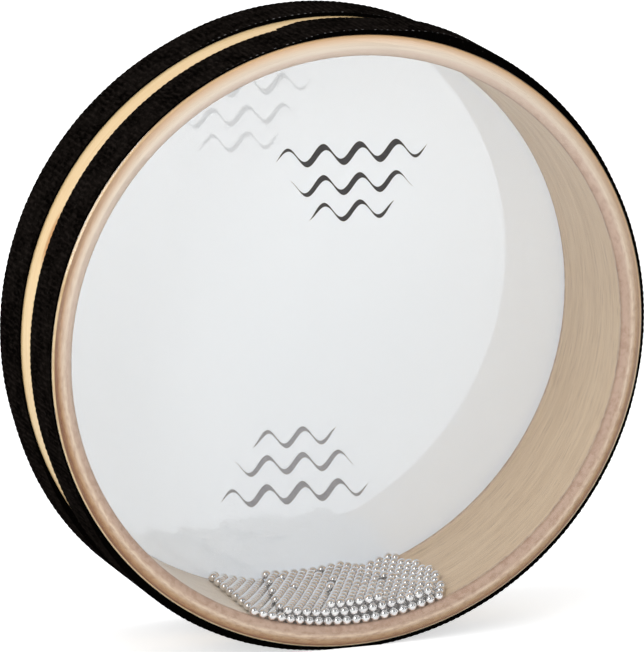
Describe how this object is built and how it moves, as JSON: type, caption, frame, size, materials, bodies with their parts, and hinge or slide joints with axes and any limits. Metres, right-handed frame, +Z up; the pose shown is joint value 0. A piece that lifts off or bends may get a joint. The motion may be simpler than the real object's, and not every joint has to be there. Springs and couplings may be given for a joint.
{
  "type": "ocean drum",
  "caption": "Shallow round wooden drum with a clear front head, a white back head, black ribbon round each rim and loose steel beads inside that wash round as it is tilted.",
  "frame": {"origin": "middle of the drum, on its axis and halfway between the heads", "axes": "+Y along the drum's axis from the clear front head to the white back head, +Z up with the drum on its edge, +X to the right seen from the front"},
  "size_m": [0.254, 0.0684, 0.254],
  "materials": {
    "wood": "satin lacquer",
    "clear_film": "clear gloss",
    "white_film": "gloss",
    "ribbon": "matt ribbed weave",
    "steel": "polished"
  },
  "bodies": {
    "drum": {"shell": "wood", "front_head": "clear_film", "back_head": "white_film", "front_band": "ribbon", "back_band": "ribbon"},
    "bead_row_01": {"bead_row_01": "steel"},
    "bead_row_02": {"bead_row_02": "steel"},
    "bead_row_03": {"bead_row_03": "steel"},
    "bead_row_04": {"bead_row_04": "steel"},
    "bead_row_05": {"bead_row_05": "steel"},
    "bead_row_06": {"bead_row_06": "steel"},
    "bead_row_07": {"bead_row_07": "steel"},
    "bead_row_08": {"bead_row_08": "steel"},
    "bead_row_09": {"bead_row_09": "steel"},
    "bead_row_10": {"bead_row_10": "steel"},
    "bead_row_11": {"bead_row_11": "steel"},
    "bead_row_12": {"bead_row_12": "steel"},
    "bead_row_13": {"bead_row_13": "steel"},
    "bead_row_14": {"bead_row_14": "steel"},
    "bead_row_15": {"bead_row_15": "steel"},
    "bead_row_16": {"bead_row_16": "steel"}
  },
  "joints": [
    {"name": "bead_row_01_roll", "type": "hinge", "parent": "drum", "child": "bead_row_01", "pos_m": [0, 0, 0], "axis": [0, 1, 0], "continuous": true},
    {"name": "bead_row_02_roll", "type": "hinge", "parent": "drum", "child": "bead_row_02", "pos_m": [0, 0, 0], "axis": [0, 1, 0], "continuous": true},
    {"name": "bead_row_03_roll", "type": "hinge", "parent": "drum", "child": "bead_row_03", "pos_m": [0, 0, 0], "axis": [0, 1, 0], "continuous": true},
    {"name": "bead_row_04_roll", "type": "hinge", "parent": "drum", "child": "bead_row_04", "pos_m": [0, 0, 0], "axis": [0, 1, 0], "continuous": true},
    {"name": "bead_row_05_roll", "type": "hinge", "parent": "drum", "child": "bead_row_05", "pos_m": [0, 0, 0], "axis": [0, 1, 0], "continuous": true},
    {"name": "bead_row_06_roll", "type": "hinge", "parent": "drum", "child": "bead_row_06", "pos_m": [0, 0, 0], "axis": [0, 1, 0], "continuous": true},
    {"name": "bead_row_07_roll", "type": "hinge", "parent": "drum", "child": "bead_row_07", "pos_m": [0, 0, 0], "axis": [0, 1, 0], "continuous": true},
    {"name": "bead_row_08_roll", "type": "hinge", "parent": "drum", "child": "bead_row_08", "pos_m": [0, 0, 0], "axis": [0, 1, 0], "continuous": true},
    {"name": "bead_row_09_roll", "type": "hinge", "parent": "drum", "child": "bead_row_09", "pos_m": [0, 0, 0], "axis": [0, 1, 0], "continuous": true},
    {"name": "bead_row_10_roll", "type": "hinge", "parent": "drum", "child": "bead_row_10", "pos_m": [0, 0, 0], "axis": [0, 1, 0], "continuous": true},
    {"name": "bead_row_11_roll", "type": "hinge", "parent": "drum", "child": "bead_row_11", "pos_m": [0, 0, 0], "axis": [0, 1, 0], "continuous": true},
    {"name": "bead_row_12_roll", "type": "hinge", "parent": "drum", "child": "bead_row_12", "pos_m": [0, 0, 0], "axis": [0, 1, 0], "continuous": true},
    {"name": "bead_row_13_roll", "type": "hinge", "parent": "drum", "child": "bead_row_13", "pos_m": [0, 0, 0], "axis": [0, 1, 0], "continuous": true},
    {"name": "bead_row_14_roll", "type": "hinge", "parent": "drum", "child": "bead_row_14", "pos_m": [0, 0, 0], "axis": [0, 1, 0], "continuous": true},
    {"name": "bead_row_15_roll", "type": "hinge", "parent": "drum", "child": "bead_row_15", "pos_m": [0, 0, 0], "axis": [0, 1, 0], "continuous": true},
    {"name": "bead_row_16_roll", "type": "hinge", "parent": "drum", "child": "bead_row_16", "pos_m": [0, 0, 0], "axis": [0, 1, 0], "continuous": true}
  ]
}
